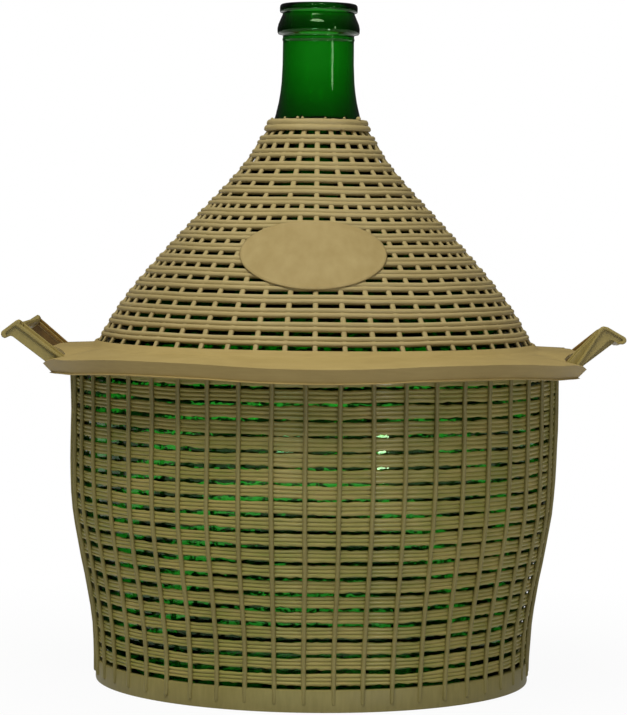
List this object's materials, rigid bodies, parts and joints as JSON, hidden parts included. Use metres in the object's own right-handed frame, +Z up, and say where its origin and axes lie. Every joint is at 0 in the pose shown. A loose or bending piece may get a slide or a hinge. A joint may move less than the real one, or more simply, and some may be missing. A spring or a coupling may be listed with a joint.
{
  "type": "covered demijohn",
  "caption": "Wide glass demijohn with a narrow neck, standing in a slotted plastic basket with loop handles under a lift-off conical cover, for storing and carrying liquids.",
  "frame": {"origin": "centre of the basket's underside, on the ground", "axes": "+Z up along the bottle's axis, -Y towards the front with the oval plate, +X towards the right-hand handle"},
  "size_m": [0.4608, 0.422, 0.5118],
  "materials": {
    "basket_plastic": "semi-matt moulded tan plastic",
    "cover_plastic": "semi-matt moulded tan plastic",
    "bottle_glass": "clear emerald green glass"
  },
  "bodies": {
    "basket": {"basket_foot": "basket_plastic", "basket_weave": "basket_plastic", "rib_cage": "basket_plastic", "basket_rim": "basket_plastic", "handle_left": "basket_plastic", "handle_right": "basket_plastic"},
    "bottle": {"glass_bottle": "bottle_glass"},
    "cover": {"cover_weave": "cover_plastic", "cover_spokes": "cover_plastic", "neck_ring": "cover_plastic", "cover_flange": "cover_plastic", "oval_plate": "cover_plastic"}
  },
  "joints": [
    {"name": "bottle_lift", "type": "slide", "parent": "basket", "child": "bottle", "axis": [0, 0, 1], "range_m": [0, 0.28]},
    {"name": "cover_lift", "type": "slide", "parent": "bottle", "child": "cover", "axis": [0, 0, 1], "range_m": [0, 0.29]}
  ]
}
